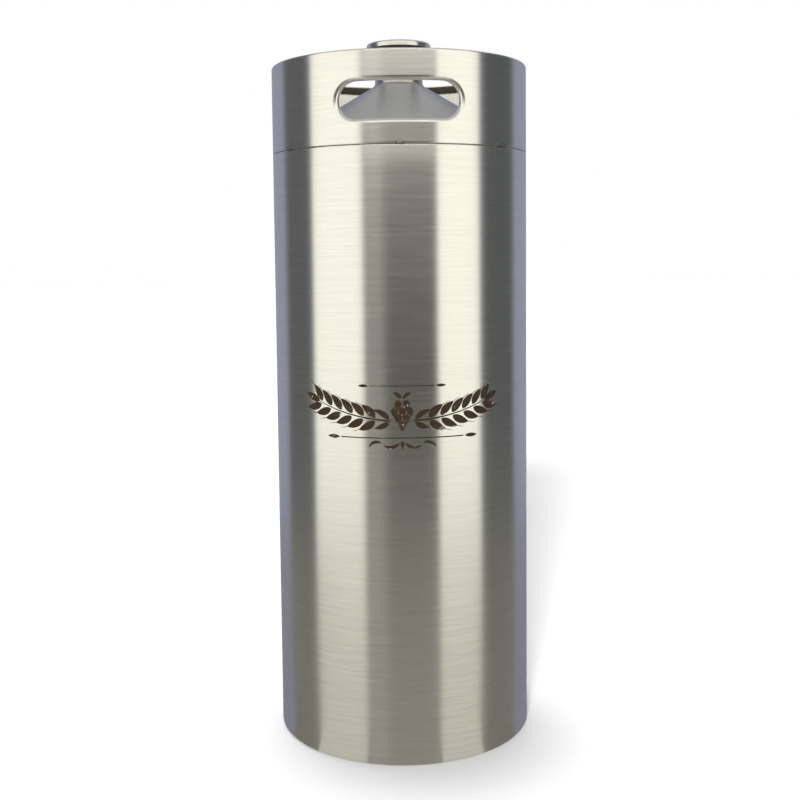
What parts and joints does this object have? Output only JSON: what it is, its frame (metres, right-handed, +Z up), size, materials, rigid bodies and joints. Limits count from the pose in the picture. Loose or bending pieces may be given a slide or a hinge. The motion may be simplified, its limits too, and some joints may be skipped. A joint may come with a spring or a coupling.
{
  "type": "beer keg",
  "caption": "Tall double-walled steel beer keg with a handle collar, opposite hand holes, a short neck and a black-sealed screw cap that turns and rises off the mouth.",
  "frame": {"origin": "centre of the circle the keg stands on", "axes": "+Z up along the keg's axis; the front hand hole faces -Y"},
  "size_m": [0.186, 0.1864, 0.5046],
  "materials": {
    "brushed_wall": "brushed round the body",
    "pressed_steel": "satin, as pressed and pickled",
    "turned_steel": "fine turned",
    "cap_steel": "satin",
    "weld_bead": "rippled, faint heat tint",
    "liner_steel": "electropolished",
    "braze": "as melted",
    "glass_fibre": "moulded",
    "getter": "sintered",
    "black_core": "moulded, fine grain",
    "black_seal": "smooth silicone",
    "foam": "fine cells"
  },
  "bodies": {
    "keg": {"outer_shell": "brushed_wall", "handle_collar": "brushed_wall", "tack_welds": "weld_bead", "outer_shoulder": "pressed_steel", "shoulder_weld": "weld_bead", "neck_ferrule": "turned_steel", "neck_weld": "weld_bead", "base_pan": "pressed_steel", "base_weld": "weld_bead", "vacuum_pellet": "braze", "pellet_cover": "turned_steel", "inner_tube": "liner_steel", "inner_shoulder": "liner_steel", "inner_bottom": "liner_steel", "inner_shoulder_weld": "weld_bead", "inner_bottom_weld": "weld_bead", "inner_neck_weld": "weld_bead", "spacer_ring": "glass_fibre", "getter_clip": "pressed_steel", "getter_pellet": "getter"},
    "seal": {"cap_seal": "black_seal"},
    "cap": {"cap_shell": "cap_steel", "cap_core": "black_core", "cap_foam": "foam", "plug_nose": "turned_steel"}
  },
  "joints": [
    {"name": "cap_lift", "type": "slide", "parent": "keg", "child": "seal", "axis": [0, 0, 1], "range_m": [0, 0.024]},
    {"name": "cap_turn", "type": "hinge", "parent": "seal", "child": "cap", "pos_m": [0, 0, 0.499], "axis": [0, 0, 1], "range_deg": [0, 1728]}
  ],
  "couplings": [
    {"joint": "cap_lift", "follows": "cap_turn", "m_per_rad": 0.00079577}
  ]
}
